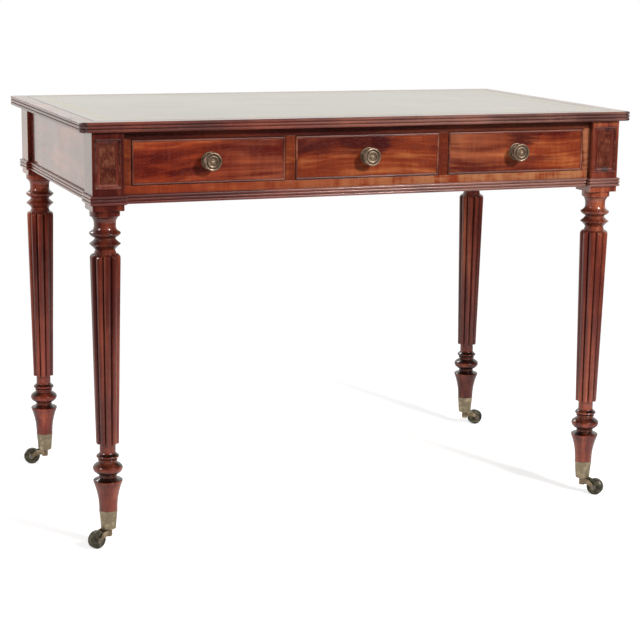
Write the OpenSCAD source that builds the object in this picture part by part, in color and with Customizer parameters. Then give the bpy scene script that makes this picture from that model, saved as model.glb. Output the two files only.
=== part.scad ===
// Library table on reeded legs, with a leather writing surface, three frieze drawers and brass castors.
// Millimetres, +Z up. The drawers face -Y and the origin is on the floor, under the middle of the top.

/* [Overall] */
// Width of the top, left to right
table_w = 1066; // [900:1:1400]
// Depth of the top, front to back
table_d = 610; // [560:1:800]
// Height of the writing surface above the floor
table_h = 760; // [700:1:800]

/* [Top] */
// Thickness of the top board
top_t = 17.5; // [14:0.5:24]
// Corner radius of the top board, seen from above
top_corner_r = 10; // [6:0.5:25]
// Depth of the reeds worked on the edge of the top
top_reed_depth = 2.2; // [1:0.1:2.8]
// Width of the cross-banded border round the leather
band_w = 29; // [25:1:70]
// Thickness of the leather
leather_t = 1.5; // [1:0.1:3]

/* [Frame] */
// Side of the square head of each leg
post_w = 56; // [50:1:70]
// Overhang of the top past the posts, left and right
side_overhang = 21; // [10:1:40]
// Overhang of the top past the posts, front and back
front_overhang = 9; // [6:1:30]
// How far the rails and the back apron are set back from the post faces
rail_setback = 11; // [6:0.5:14]
// How far the side aprons are set back from the post faces
side_setback = 7; // [5:0.5:14]
// Thickness of the side and back aprons
apron_t = 20; // [16:0.5:24]
// Height of the frieze between the top and the bare block of the leg
frieze_h = 125; // [120:1:160]
// Height of the rail above the drawers
top_rail_h = 14.5; // [12:0.5:24]
// Front-to-back depth of the rail above the drawers
top_rail_d = 50; // [30:1:80]
// Height of the rail below the drawers
bottom_rail_h = 31; // [24:0.5:40]
// Front-to-back depth of the rail below the drawers
bottom_rail_d = 45; // [30:0.5:50]
// Width of the uprights between the drawers
muntin_w = 18; // [14:0.5:30]
// Width of the upright between an outer drawer and its post
stile_w = 15; // [10:0.5:24]
// Thickness of every tenon
tenon_t = 8; // [6:0.5:9]
// Length of every tenon
tenon_l = 20; // [12:0.5:22]

/* [Mouldings] */
// Height of the reeded band at the foot of the frieze
moulding_h = 16.5; // [12:0.5:22]
// Projection of the reeded band
moulding_p = 4.5; // [4:0.25:8]
// Width of the sunk panel in the front posts, moulding included
panel_w = 47; // [36:0.5:49]
// How far the sunk panel reaches past the drawer openings, up and down
panel_over = 3.5; // [0:0.5:5]
// Depth of the sunk panel
panel_depth = 4; // [3:0.25:6]
// Width of the moulding that frames the sunk panel
frame_w = 9.5; // [7:0.25:12]
// Width of the bead along the outer edge of that moulding
bead_w = 3.2; // [2:0.1:4]
// How far that bead stands out of the post
bead_proud = 1.2; // [0.5:0.1:2]

/* [Leg] */
// Height of the bare square block under the reeded band
block_h = 10.5; // [6:0.5:18]
// Radius of the two rings under the block
ring_r = 27.2; // [24:0.1:30]
// Radius of the hollows between the rings
hollow_r = 18; // [15:0.1:20]
// Number of reeds on the shaft
reed_count = 10; // [8:1:14]
// Radius over the reeds at the top of the shaft
reed_top_r = 27; // [24:0.1:30]
// Radius over the reeds at the bottom of the shaft
reed_bottom_r = 20.6; // [18:0.1:23]
// Height of the turned foot with its rings, up to the reeds
ankle_h = 124; // [118:1:140]
// Radius of the neck below the reeds
ankle_neck_r = 14; // [12:0.1:16]
// Radius of the fat ring at the ankle
torus_r = 26.6; // [24:0.1:29]
// Radius of the foot at its flared top
foot_top_r = 26.3; // [24:0.1:29]
// Radius of the foot at its bottom
foot_bottom_r = 16.3; // [15.5:0.1:18]

/* [Drawer] */
// Gap round a drawer front in its opening
drawer_gap = 1; // [0.5:0.1:2]
// Thickness of the drawer front
front_t = 19; // [16:0.5:24]
// Thickness of the cock bead round the drawer front
cock_t = 3.5; // [2:0.25:4]
// How far the cock bead stands out of the drawer front
cock_proud = 2; // [1:0.1:3]
// Depth of the rebate that holds the cock bead
cock_d = 4.5; // [3:0.25:5.5]
// Thickness of wood in front of the dovetails
lap_t = 6; // [6:0.5:9]
// Thickness of the drawer sides and back
side_t = 9; // [7:0.5:12]
// Gap between the drawer sides and the kickers above them
side_clear = 3.2; // [1:0.2:12]
// Thickness of the drawer bottom
bottom_t = 6; // [5:0.5:8]
// Height of the drawer bottom above the underside of the sides
bottom_lift = 7; // [5:0.5:12]
// Free space behind a closed drawer
back_space = 20; // [10:1:80]

/* [Knob] */
// Radius of the turned knob
knob_r = 16.5; // [12:0.5:18]
// Radius of the plate behind the knob
plate_r = 15.5; // [12:0.5:18]
// Projection of the knob from the drawer front
knob_p = 24; // [20:0.5:34]
// Radius of the threaded stem of the knob
stem_r = 3; // [2:0.1:4]

/* [Castor] */
// Radius of the brass wheel
wheel_r = 16; // [13:0.5:18]
// Width of the brass wheel
wheel_w = 15; // [9:0.5:17]
// Distance from the swivel axis to the wheel axis
trail = 27; // [25:0.5:32]
// Radius of the wheel axle
axle_r = 2; // [1.5:0.1:3]
// Radius of the swivel pin
pintle_r = 3; // [2.5:0.1:4]
// Height of the tapered brass cap
cap_h = 34.5; // [28:0.5:40]
// Outer radius of the cap at its lower end
cap_bottom_r = 13.4; // [12:0.1:15]
// Outer radius of the cap below its rim
cap_top_r = 15.8; // [14.5:0.1:17]
// Wall thickness of the cap
cap_wall = 1.4; // [1:0.1:2]
// Thickness of the floor of the cap
cap_floor = 3; // [2:0.25:4]

/* [Hidden] */

// Clearances: a glued joint, a mitre, a running fit, and a slack part such as a drawer bottom in its groove
glue_gap = 0.05;
mitre_gap = 0.04;
run_gap = 0.06;
slack = 0.3;

// Places of the main faces
post_x = table_w / 2 - side_overhang - post_w / 2;
post_y = table_d / 2 - front_overhang - post_w / 2;
post_in = post_w / 2;
rail_face = post_in - rail_setback;
side_face = post_in - side_setback;
front_y = -post_y - rail_face;
bay_x = post_x - post_in;
bay_y = post_y - post_in;
frieze_top = table_h - top_t;
frieze_bottom = frieze_top - frieze_h;
block_bottom = frieze_bottom - block_h;
opening_top = frieze_top - top_rail_h;
opening_bottom = frieze_bottom + bottom_rail_h;
opening_w = (2 * bay_x - 2 * stile_w - 2 * muntin_w) / 3;
bay_pitch = opening_w + muntin_w;
muntin_x = bay_pitch / 2;
panel_z = (opening_top + opening_bottom) / 2;
panel_h = opening_top - opening_bottom + 2 * panel_over;
back_inner_y = post_y + rail_face - apron_t;
rail_back_y = front_y + bottom_rail_d;

// Castor heights: the wheel stands up a little beside the lower end of the cap
cap_sink = 0.8;
cap_bottom_z = 2 * wheel_r - cap_sink;
cap_top_z = cap_bottom_z + cap_h;
reed_bottom_z = cap_top_z + ankle_h;

// Turned sections, from the top down: [height, upper radius, lower radius, swell of the middle]
head_turnings = [
    [9.5, ring_r - 0.9, ring_r - 0.9, 0],
    [2.5, ring_r - 0.9, ring_r - 3.6, 0.8],
    [1.5, ring_r - 5, ring_r - 5, 0],
    [12.5, ring_r - 5, hollow_r + 1.1, -1.2],
    [6.5, hollow_r + 1.1, hollow_r + 1.8, -0.5],
    [6.5, hollow_r + 1.8, ring_r - 0.6, -1.4],
    [3.5, ring_r - 0.6, ring_r - 0.6, 0.8],
    [6, ring_r - 0.6, hollow_r + 0.6, 0.8],
    [1.5, hollow_r, hollow_r, 0],
    [8.5, hollow_r, ring_r - 0.7, -1],
    [1.6, ring_r - 0.7, ring_r - 0.7, 0.7],
    [8.5, ring_r - 0.7, hollow_r, -0.6],
    [5, hollow_r - 0.4, hollow_r - 0.4, 0],
    [3, hollow_r + 0.9, hollow_r + 0.9, 0]
];
ankle_turnings = [
    [8.5, ankle_neck_r + 0.3, ankle_neck_r + 0.3, 0],
    [7.5, ankle_neck_r, 19.4, -1.6],
    [4, 19.4, 19.4, 1],
    [2.2, 18.4, 15.8, -0.4],
    [4.6, 15.8, 15.8, 1.7],
    [2.4, 15.2, 15.2, 0],
    [11.2, 17.2, torus_r, 3.2],
    [11.2, torus_r, 15.6, 2.6],
    [1.6, ankle_neck_r + 0.6, ankle_neck_r + 0.6, 0],
    [3.4, ankle_neck_r + 1, ankle_neck_r + 1, 1.1],
    [4.2, ankle_neck_r + 0.8, foot_top_r - 1.2, -1.4]
];
foot_rim_h = 4;
neck_h = 6;
turning_steps = 6;
shoulder_h = 8;
reed_steps = 8;
reed_share = 0.24;

// Small sizes of fittings
cap_rim_h = 4;
cap_rim_proud = 0.5;
cap_screw_r = 1.4;
cap_screw_l = 6;
cap_screw_drop = 8;
cap_screw_turn = 60;
top_screw_r = 2;
top_screw_head_r = 4;
top_screw_bite = 10;
runner_h = 18;
runner_w = 16;
guide_h = 14;
stop_w = 30;
stop_l = 22;
stop_h = 4;
nut_w = 10;
nut_t = 4;
plate_t = 3;
horn_hub_r = 6;
horn_hub_z = 17;
arm_t = 2.6;
arm_gap = 0.5;
arm_boss_r = 4.6;
pintle_head_r = 5.5;
pintle_head_t = 2;
swivel_gap = 0.3;
tail_count = 3;
tail_splay = 2;
tail_gap = 6;
back_inset = 3;
back_drop = 4;
button_r = 3.4;
button_h = 4.6;
button_rise = 1.4;

// The four corners: [name, side along x, side along y, swivel of the castor, turn of the first reed]
CORNERS = [
    ["front_left", -1, -1, 205, 12],
    ["front_right", 1, -1, 312, 18],
    ["back_left", -1, 1, 158, 6],
    ["back_right", 1, 1, 5, 24]
];
DRAWERS = [["left", -1], ["centre", 0], ["right", 1]];

// Sum of the first n heights of a list of turned sections
function drop(list, n) = n <= 0 ? 0 : list[n - 1][0] + drop(list, n - 1);
// Outline of turned sections as [radius, height] points
function turned(list, z_top) = [
    for (i = [0 : len(list) - 1])
        let (s = list[i], steps = s[3] == 0 ? 1 : turning_steps, z = z_top - drop(list, i))
            for (j = [0 : steps])
                [s[1] + (s[2] - s[1]) * j / steps + s[3] * sin(180 * j / steps), z - s[0] * j / steps]
];
// Radius of a reeded outline of outer radius r, at an angle from a reed's crown
function reeded(r, a) =
    let (c = r * (1 - reed_share), q = r * reed_share) c * cos(a) + sqrt(max(0, q * q - pow(c * sin(a), 2)));
// Radius of the rounded shoulder where the reeds die out, at an angle round its quarter circle
function shoulder(a) = hollow_r + 0.3 + (reed_top_r - hollow_r - 0.3) * cos(a);
// One level of the reeded shaft: radius over the reeds, height, and a limit on the radius
function reed_level(r, z, limit) = [
    for (k = [0 : reed_count - 1])
        for (j = [0 : reed_steps - 1])
            let (a = 360 / reed_count * (j / reed_steps - 0.5), q = min(limit, reeded(r, a)))
                [q * cos(a + 360 / reed_count * k), q * sin(a + 360 / reed_count * k), z]
];
// Rounded rectangle as points at height z, drawn in by d
function plan_level(w, l, r, d, z) = [
    for (q = [[1, 1, 0], [-1, 1, 90], [-1, -1, 180], [1, -1, 270]])
        for (a = [0 : 15 : 90])
            [q[0] * (w / 2 - r) + (r - d) * cos(q[2] + a), q[1] * (l / 2 - r) + (r - d) * sin(q[2] + a), z]
];

// Solid through a stack of levels that have the same number of points
module loft(levels) {
    n = len(levels[0]);
    last = len(levels) - 1;
    polyhedron(
        points = [for (level = levels) for (p = level) p],
        faces = concat(
            [[for (i = [0 : n - 1]) i]],
            [for (k = [0 : last - 1]) for (i = [0 : n - 1])
                let (j = (i + 1) % n) [k * n + i, (k + 1) * n + i, (k + 1) * n + j]],
            [for (k = [0 : last - 1]) for (i = [0 : n - 1])
                let (j = (i + 1) % n) [k * n + i, (k + 1) * n + j, k * n + j]],
            [[for (i = [n - 1 : -1 : 0]) last * n + i]]
        )
    );
}

// Box from its lowest to its highest corner
module box(a, b) {
    translate([min(a[0], b[0]), min(a[1], b[1]), min(a[2], b[2])])
        cube([abs(b[0] - a[0]), abs(b[1] - a[1]), abs(b[2] - a[2])]);
}

// Section of the reeded band: flat at x = 0, three reeds out to x = moulding_p, from z = 0 up
module band_section() {
    r = moulding_h / 6;
    intersection() {
        square([moulding_p, moulding_h]);
        union() {
            square([moulding_p - r + 0.25, moulding_h]);
            for (i = [0 : 2])
                translate([moulding_p - r, r * (2 * i + 1)]) circle(r, $fn = 32);
        }
    }
}

// Section of a cock bead: w wide from x = 0, its rounded edge at height d
module cock_section(w, d) {
    square([w, d - w / 2]);
    translate([w / 2, d - w / 2]) circle(w / 2, $fn = 32);
}

// Section of the panel moulding: a bead as high as d at x = 0, and a hollow falling to a thin edge at x = w
module panel_section(w, d) {
    r = bead_w / 2;
    edge = 1;
    polygon(concat(
        [[0, 0], [w, 0], [w, edge]],
        [for (i = [0 : 6]) let (a = 15 * i)
            [w - edge - (w - edge - bead_w - 0.4) * sin(a), edge + (d - r - edge) * (1 - cos(a))]],
        [for (i = [0 : 8]) [r + r * cos(22.5 * i), d - r + r * sin(22.5 * i)]]
    ));
}

// Strip along x of the given section, d high, mitred at both ends: its outer edge at y = 0, its back at z = 0
module mitred_strip(length, w, d) {
    g = mitre_gap;
    intersection() {
        rotate([90, 0, 90]) linear_extrude(length) children();
        translate([0, 0, -1]) linear_extrude(d + 2)
            polygon([[g, 0], [length - g, 0], [length - w - g, w], [w + g, w]]);
    }
}

// Four mitred strips as a frame in the x-z plane, its face towards -y at y = 0
module bead_frame(w, h, t, d) {
    for (s = [[0, w, h], [90, h, w], [180, w, h], [270, h, w]])
        rotate([0, s[0], 0]) translate([-s[1] / 2, 0, -s[2] / 2])
            rotate([90, 0, 0]) translate([0, 0, -d]) mitred_strip(s[1], t, d) children();
}

module top_board() {
    reed_h = top_t / 3;
    steps = 6;
    color("saddlebrown") difference() {
        loft([
            for (i = [0 : 2])
                for (j = [(i == 0 ? 0 : 1) : steps])
                    let (d = top_reed_depth * (1 - sqrt(1 - pow(2 * j / steps - 1, 2))))
                        plan_level(table_w, table_d, top_corner_r, d, frieze_top + reed_h * (i + j / steps))
        ]);
        translate([-table_w / 2 + band_w, -table_d / 2 + band_w, table_h - leather_t])
            cube([table_w - 2 * band_w, table_d - 2 * band_w, leather_t + 1]);
        top_screw_places() translate([0, 0, frieze_top - 1])
            cylinder(r = top_screw_r, h = top_screw_bite + 1, $fn = 24);
    }
}

module leather_panel() {
    inset = band_w + glue_gap;
    color("darkseagreen")
        translate([-table_w / 2 + inset, -table_d / 2 + inset, table_h - leather_t])
            cube([table_w - 2 * inset, table_d - 2 * inset, leather_t]);
}

// Turned leg with its square head, reeded shaft and foot, on the axis x = y = 0
module leg_blank(turn) {
    reed_top_z = block_bottom - drop(head_turnings, len(head_turnings));
    ankle_top_z = reed_bottom_z - neck_h;
    foot_top_z = ankle_top_z - drop(ankle_turnings, len(ankle_turnings));
    foot_h = foot_top_z - foot_rim_h - cap_top_z;
    translate([-post_in, -post_in, block_bottom]) cube([post_w, post_w, frieze_h + block_h]);
    rotate_extrude($fn = 64)
        polygon(concat([[0, block_bottom + 1], [ring_r - 0.9, block_bottom + 1]],
            turned(head_turnings, block_bottom), [[0, reed_top_z]]));
    // The reeded shaft runs a little way into the turnings at both of its ends
    rotate([0, 0, turn]) loft(concat(
        [reed_level(reed_bottom_r, ankle_top_z - 2, ankle_neck_r)],
        [reed_level(reed_bottom_r, reed_bottom_z, ankle_neck_r)],
        [reed_level(reed_bottom_r, reed_bottom_z, ring_r)],
        [for (a = [0 : 15 : 90]) reed_level(reed_top_r, reed_top_z - shoulder_h * (1 - sin(a)), shoulder(a))],
        [reed_level(reed_top_r, reed_top_z + 2, shoulder(90))]
    ));
    rotate_extrude($fn = 64)
        polygon(concat([[0, ankle_top_z]],
            turned(ankle_turnings, ankle_top_z),
            [[foot_top_r - 0.4, foot_top_z - 0.6], [foot_top_r, foot_top_z - 2]],
            [for (i = [0 : 8])
                let (t = 1 - i / 8, flare = foot_top_r - 0.3 - foot_bottom_r)
                    [foot_bottom_r + flare * pow(t, 2.2), cap_top_z + foot_h * t]],
            [[cap_top_r - cap_wall - glue_gap, cap_top_z],
             [cap_bottom_r - cap_wall - glue_gap, cap_bottom_z + cap_floor + slack],
             [0, cap_bottom_z + cap_floor + slack]]));
}

// Mortise along x from the inner face of a post, for a tenon of the given heights behind a face at y
module mortise(face, heights) {
    g = glue_gap;
    translate([-post_in - 1, face - apron_t / 2 - tenon_t / 2 - g, heights[0] - g])
        cube([tenon_l + 1 + g, tenon_t + 2 * g, heights[1] - heights[0] + 2 * g]);
}

// Heights of the tenons on a full apron and on the two front rails
apron_tenon = [frieze_bottom + 15, frieze_top - 15];
bottom_tenon = [frieze_bottom + 6, frieze_bottom + bottom_rail_h - 6];
top_tenon = [opening_top + 3, frieze_top - 4];

module leg(c) {
    sx = c[1];
    sy = c[2];
    color("saddlebrown") translate([sx * post_x, sy * post_y, 0]) difference() {
        leg_blank(c[4]);
        // Mortises for the side apron, then for the back apron or the two front rails
        mirror([sx < 0 ? 1 : 0, 0, 0]) mirror([0, sy < 0 ? 1 : 0, 0]) {
            mirror([1, -1, 0]) mortise(side_face, apron_tenon);
            if (sy > 0) {
                mortise(rail_face, apron_tenon);
            } else {
                mortise(rail_face, bottom_tenon);
                mortise(rail_face, top_tenon);
            }
        }
        // Sunk panel in the front face of a front leg
        if (sy < 0)
            translate([-panel_w / 2 - glue_gap, -post_in - 1, panel_z - panel_h / 2 - glue_gap])
                cube([panel_w + 2 * glue_gap, panel_depth + 1, panel_h + 2 * glue_gap]);
        // Room for the riveted head of the swivel pin, and the screws of the cap
        translate([0, 0, cap_bottom_z])
            cylinder(r = pintle_head_r + 0.5, h = cap_floor + pintle_head_t + 1.5, $fn = 32);
        cap_screw_places() cylinder(r = cap_screw_r, h = cap_screw_l + 0.5, $fn = 24);
    }
}

// The two screws through each cap, pointing inwards from its surface, on the leg's axis
module cap_screw_places() {
    for (a = [cap_screw_turn, cap_screw_turn + 180])
        rotate([0, 0, a]) translate([cap_top_r + 0.2, 0, cap_top_z - cap_screw_drop])
            rotate([0, -90, 0]) children();
}

module cap_screws() {
    color("darkkhaki") for (c = CORNERS)
        translate([c[1] * post_x, c[2] * post_y, 0]) cap_screw_places()
            cylinder(r = cap_screw_r - glue_gap, h = cap_screw_l, $fn = 24);
}

module corner_beads() {
    color("sienna") for (sx = [-1, 1])
        translate([sx * post_x, -post_y - post_in - bead_proud, panel_z])
            bead_frame(panel_w, panel_h, frame_w, panel_depth + bead_proud)
                panel_section(frame_w, panel_depth + bead_proud);
}

// Reeded bar as thick as a post with the band on both faces, along x
module post_bar(length) {
    rotate([90, 0, 90]) translate([0, 0, -length / 2]) linear_extrude(length) {
        translate([-post_in, 0]) square([post_w, moulding_h]);
        for (m = [0, 1]) mirror([m, 0]) translate([post_in, 0]) band_section();
    }
}

module post_mouldings() {
    span = post_w + 2 * moulding_p + 2;
    hole = post_w + 2 * glue_gap;
    color("sienna") for (c = CORNERS)
        translate([c[1] * post_x, c[2] * post_y, frieze_bottom]) difference() {
            intersection() {
                post_bar(span);
                rotate([0, 0, 90]) post_bar(span);
            }
            translate([-hole / 2, -hole / 2, -1]) cube([hole, hole, moulding_h + 2]);
            box([c[1] * side_face, c[2] * rail_face, -1], [-c[1] * span, -c[2] * span, moulding_h + 1]);
        }
}

// Reeded band along x, its back at y = 0 and its face towards +y
module band(length) {
    rotate([90, 0, 90]) translate([0, 0, -length / 2]) linear_extrude(length) band_section();
}

module apron_mouldings() {
    color("sienna") for (m = [0, 1]) {
        mirror([0, m, 0]) translate([0, post_y + rail_face, frieze_bottom]) band(2 * (bay_x - moulding_p));
        mirror([m, 0, 0]) translate([post_x + side_face, 0, frieze_bottom])
            rotate([0, 0, -90]) band(2 * (bay_y - moulding_p));
    }
}

// Apron between two posts: its length along x between the posts, its outer face at y = 0, its body towards -y
module apron(length) {
    box([-length / 2, -apron_t, frieze_bottom], [length / 2, 0, frieze_top]);
    box([-length / 2 - tenon_l, -apron_t / 2 - tenon_t / 2, apron_tenon[0]],
        [length / 2 + tenon_l, -apron_t / 2 + tenon_t / 2, apron_tenon[1]]);
}

module back_apron() {
    color("peru") translate([0, post_y + rail_face, 0]) apron(2 * bay_x);
}

module side_apron(s) {
    color("saddlebrown") rotate([0, 0, -90 * s]) translate([0, post_x + side_face, 0]) apron(2 * bay_y);
}

// Rail between the front posts, with its tenons
module front_rail(z0, z1, depth, tenon) {
    mid = front_y + apron_t / 2;
    box([-bay_x, front_y, z0], [bay_x, front_y + depth, z1]);
    box([-bay_x - tenon_l, mid - tenon_t / 2, tenon[0]], [bay_x + tenon_l, mid + tenon_t / 2, tenon[1]]);
}

module front_top_rail() {
    color("saddlebrown") front_rail(opening_top, frieze_top, top_rail_d, top_tenon);
}

module front_bottom_rail() {
    color("saddlebrown") front_rail(frieze_bottom, opening_bottom, bottom_rail_d, bottom_tenon);
}

module front_uprights() {
    color("chocolate") for (s = [-1, 1]) {
        box([s * (muntin_x - muntin_w / 2), front_y, opening_bottom],
            [s * (muntin_x + muntin_w / 2), rail_back_y, opening_top]);
        box([s * (bay_x - stile_w), front_y, opening_bottom], [s * bay_x, rail_back_y, opening_top]);
    }
}

// Runner under two drawers' sides with the guide between them, along y, on the axis x = 0
module runner(low, high, guide_low, guide_high) {
    box([low, rail_back_y, opening_bottom - runner_h], [high, back_inner_y, opening_bottom]);
    box([guide_low, rail_back_y, opening_bottom - 1], [guide_high, back_inner_y, opening_bottom + guide_h]);
}

module drawer_runners() {
    half = muntin_w / 2;
    color("tan") for (s = [0, 1]) mirror([s, 0, 0]) {
        translate([muntin_x, 0, 0])
            runner(-half - runner_w, half + runner_w, -half, half);
        translate([bay_x, 0, 0]) runner(-stile_w - runner_w, 0, -stile_w, 0);
    }
}

// Blocks on the bottom rail that the closed drawer fronts meet
module drawer_stops() {
    stop_y = front_y + front_t + slack;
    color("tan") for (i = [-1 : 1], s = [-1, 1])
        box([i * bay_pitch + s * opening_w / 4 - stop_w / 2, stop_y, opening_bottom],
            [i * bay_pitch + s * opening_w / 4 + stop_w / 2, stop_y + stop_l, opening_bottom + stop_h]);
}

// Places of the screws that hold the top, through the kickers
module top_screw_places() {
    half = muntin_w / 2;
    for (sx = [-1, 1])
        for (x = [muntin_x, bay_x - half])
            for (y = [-bay_y / 2, bay_y / 2])
                translate([sx * x, y, 0]) children();
}

module drawer_kickers() {
    half = muntin_w / 2;
    kick_front = front_y + top_rail_d;
    color("tan") difference() {
        for (s = [0, 1]) mirror([s, 0, 0]) {
            translate([muntin_x, 0, 0])
                box([-half - runner_w, kick_front, opening_top], [half + runner_w, back_inner_y, frieze_top]);
            box([bay_x - stile_w - runner_w, kick_front, opening_top], [bay_x, back_inner_y, frieze_top]);
        }
        top_screw_places() translate([0, 0, opening_top - 1]) {
            cylinder(r = top_screw_r, h = top_rail_h + 2, $fn = 24);
            cylinder(r = top_screw_head_r + slack, h = 1 + top_screw_head_r, $fn = 24);
        }
    }
}

module top_screws() {
    color("silver") top_screw_places() {
        translate([0, 0, opening_top + top_screw_head_r - 2]) cylinder(r = top_screw_head_r, h = 2, $fn = 24);
        translate([0, 0, opening_top + 2])
            cylinder(r = top_screw_r - glue_gap, h = top_rail_h - 2 + top_screw_bite - slack, $fn = 24);
    }
}

// Sizes of a drawer, in its own frame: x = 0 at its middle
drawer_w = opening_w - 2 * drawer_gap;
front_low = opening_bottom + drawer_gap;
front_high = opening_top - drawer_gap;
side_low = opening_bottom + slack;
side_high = opening_top - side_clear;
box_front = front_y + front_t;
box_back = back_inner_y - back_space;
groove_d = side_t / 3;
tail_l = front_t - lap_t;
floor_z = side_low + bottom_lift;
back_low = floor_z + bottom_t + slack;
knob_z = (front_low + front_high) / 2;

module at_drawer(s) {
    translate([s * bay_pitch, 0, 0]) children();
}

// Slot for the drawer bottom, wider than the bottom by g on each face
module bottom_board(g) {
    half = drawer_w / 2 - side_t + groove_d;
    box([-half - g, box_front - groove_d - g, floor_z - g], [half + g, box_back + g, floor_z + bottom_t + g]);
}

// Dovetails of both sides, that enter the back of the drawer front
module tails(g) {
    pitch = (side_high - side_low) / tail_count;
    wide = (pitch - tail_gap) / 2 + g;
    narrow = wide - tail_splay;
    for (x = [drawer_w / 2 - side_t - g, -drawer_w / 2 - g])
        for (i = [0 : tail_count - 1])
            translate([x, box_front, side_low + pitch * (i + 0.5)])
                rotate([90, 0, 90]) linear_extrude(side_t + 2 * g)
                    polygon([[0.5, -narrow], [0.5, narrow], [-tail_l - g, wide], [-tail_l - g, -wide]]);
}

module drawer_front(s) {
    half = drawer_w / 2;
    color("chocolate") at_drawer(s) difference() {
        box([-half, front_y, front_low], [half, box_front, front_high]);
        // Rebate for the cock bead
        difference() {
            box([-half - 1, front_y - 1, front_low - 1], [half + 1, front_y + cock_d, front_high + 1]);
            box([-half + cock_t, front_y - 2, front_low + cock_t],
                [half - cock_t, front_y + cock_d + 1, front_high - cock_t]);
        }
        bottom_board(glue_gap);
        tails(glue_gap);
        translate([0, front_y - 1, knob_z]) rotate([-90, 0, 0])
            cylinder(r = stem_r + glue_gap, h = front_t + 2, $fn = 32);
    }
}

module drawer_cock_bead(s) {
    w = cock_t - glue_gap;
    d = cock_proud + cock_d - glue_gap;
    color("brown") at_drawer(s) translate([0, front_y - cock_proud, knob_z])
        bead_frame(drawer_w, front_high - front_low, w, d) cock_section(w, d);
}

module drawer_sides(s) {
    color("burlywood") at_drawer(s) difference() {
        union() {
            for (m = [-1, 1])
                box([m * drawer_w / 2, box_front + glue_gap, side_low],
                    [m * (drawer_w / 2 - side_t), box_back, side_high]);
            tails(0);
        }
        bottom_board(glue_gap);
    }
}

module drawer_back(s) {
    half = drawer_w / 2 - side_t - glue_gap;
    back_y = box_back - back_inset;
    color("burlywood") at_drawer(s)
        box([-half, back_y - side_t, back_low], [half, back_y, side_high - back_drop]);
}

module drawer_bottom(s) {
    color("tan") at_drawer(s) bottom_board(0);
}

// Turned brass shapes of the pull, along +z out of the drawer front
module knob_body() {
    face = knob_p - button_rise;
    neck = plate_t + 5;
    rotate_extrude($fn = 64) polygon(concat(
        [[0, plate_t], [5.5, plate_t], [5.5, plate_t + 1.5], [4.6, plate_t + 2.5]],
        [for (i = [0 : 6]) let (a = 15 * i)
            [knob_r - 1.4 - (knob_r - 6) * cos(a), neck + (face - 4.5 - neck) * sin(a)]],
        [for (i = [0 : 6]) let (a = -60 + 30 * i) [knob_r - 2 + 2 * cos(a), face - 2.2 + 2.2 * sin(a)]],
        [[knob_r - 4.6, face - 3], [knob_r - 5.6, face - 3]],
        [for (i = [0 : 4]) let (a = 45 * i) [knob_r - 7.4 + 1.5 * cos(a), face - 2.4 + 1.5 * sin(a)]],
        [[knob_r - 9.4, face + button_rise - button_h], [button_r, face + button_rise - button_h]],
        [for (i = [1 : 4]) let (a = 20 * i)
            [button_r * cos(a), face + button_rise - button_h * (1 - sin(a))]],
        [[0, face + button_rise - button_h * (1 - sin(80))]]
    ));
}

module at_knob(s) {
    at_drawer(s) translate([0, front_y, knob_z]) rotate([90, 0, 0]) children();
}

module drawer_knob(s) {
    color("darkkhaki") at_knob(s) {
        knob_body();
        translate([0, 0, -front_t - nut_t - 2])
            cylinder(r = stem_r, h = front_t + nut_t + plate_t + 4, $fn = 32);
    }
}

module drawer_knob_plate(s) {
    color("darkkhaki") at_knob(s) rotate_extrude($fn = 64) polygon(concat(
        [[stem_r + glue_gap, 0], [plate_r - 0.6, 0]],
        [for (i = [0 : 4]) let (a = -90 + 45 * i) [plate_r - 1 + cos(a), 1 + sin(a)]],
        [[plate_r - 2.4, 1.6], [plate_r - 4, 1.4], [plate_r - 6, plate_t], [stem_r + glue_gap, plate_t]]
    ));
}

module drawer_knob_nut(s) {
    color("darkkhaki") at_knob(s) translate([0, 0, -front_t - nut_t]) difference() {
        translate([-nut_w / 2, -nut_w / 2, 0]) cube([nut_w, nut_w, nut_t]);
        translate([0, 0, -1]) cylinder(r = stem_r + glue_gap, h = nut_t + 2, $fn = 32);
    }
}

// Places its children on the swivel axis of a castor, with the wheel trailing along +x
module at_castor(c) {
    translate([c[1] * post_x, c[2] * post_y, 0]) rotate([0, 0, c[3]]) children();
}

module castor_cap(c) {
    color("darkkhaki") translate([c[1] * post_x, c[2] * post_y, 0]) difference() {
        rotate_extrude($fn = 64) polygon([
            [pintle_r + run_gap, cap_bottom_z], [cap_bottom_r - 0.8, cap_bottom_z],
            [cap_bottom_r, cap_bottom_z + 0.8], [cap_top_r, cap_top_z - cap_rim_h],
            [cap_top_r + cap_rim_proud, cap_top_z - cap_rim_h + 0.6],
            [cap_top_r + cap_rim_proud, cap_top_z - 0.6], [cap_top_r, cap_top_z],
            [cap_top_r - cap_wall, cap_top_z], [cap_bottom_r - cap_wall, cap_bottom_z + cap_floor],
            [pintle_r + run_gap, cap_bottom_z + cap_floor]
        ]);
        cap_screw_places() translate([0, 0, -1]) cylinder(r = cap_screw_r, h = cap_screw_l, $fn = 24);
    }
}

// Side view of a horn arm: from the hub, over the shoulder of the wheel and down to the axle
module arm_shape() {
    rise = cap_bottom_z - swivel_gap - wheel_r;
    heel_z = horn_hub_z + 5;
    outer = 0.95 * (trail - horn_hub_r);
    inner = 0.9 * (trail - horn_hub_r - arm_boss_r);
    polygon(concat(
        [[0, heel_z], [0, wheel_r + rise]],
        [for (i = [0 : 6]) let (a = 90 - 15 * i) [horn_hub_r + outer * cos(a), wheel_r + rise * sin(a)]],
        [[trail + arm_boss_r * 0.9, wheel_r], [trail, wheel_r - arm_boss_r * 0.6],
         [trail - arm_boss_r, wheel_r]],
        [for (i = [0 : 4]) let (a = 15 + 17 * i)
            [horn_hub_r + inner * cos(a), wheel_r - 1 + (heel_z - wheel_r) * sin(a)]]
    ));
}

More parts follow.
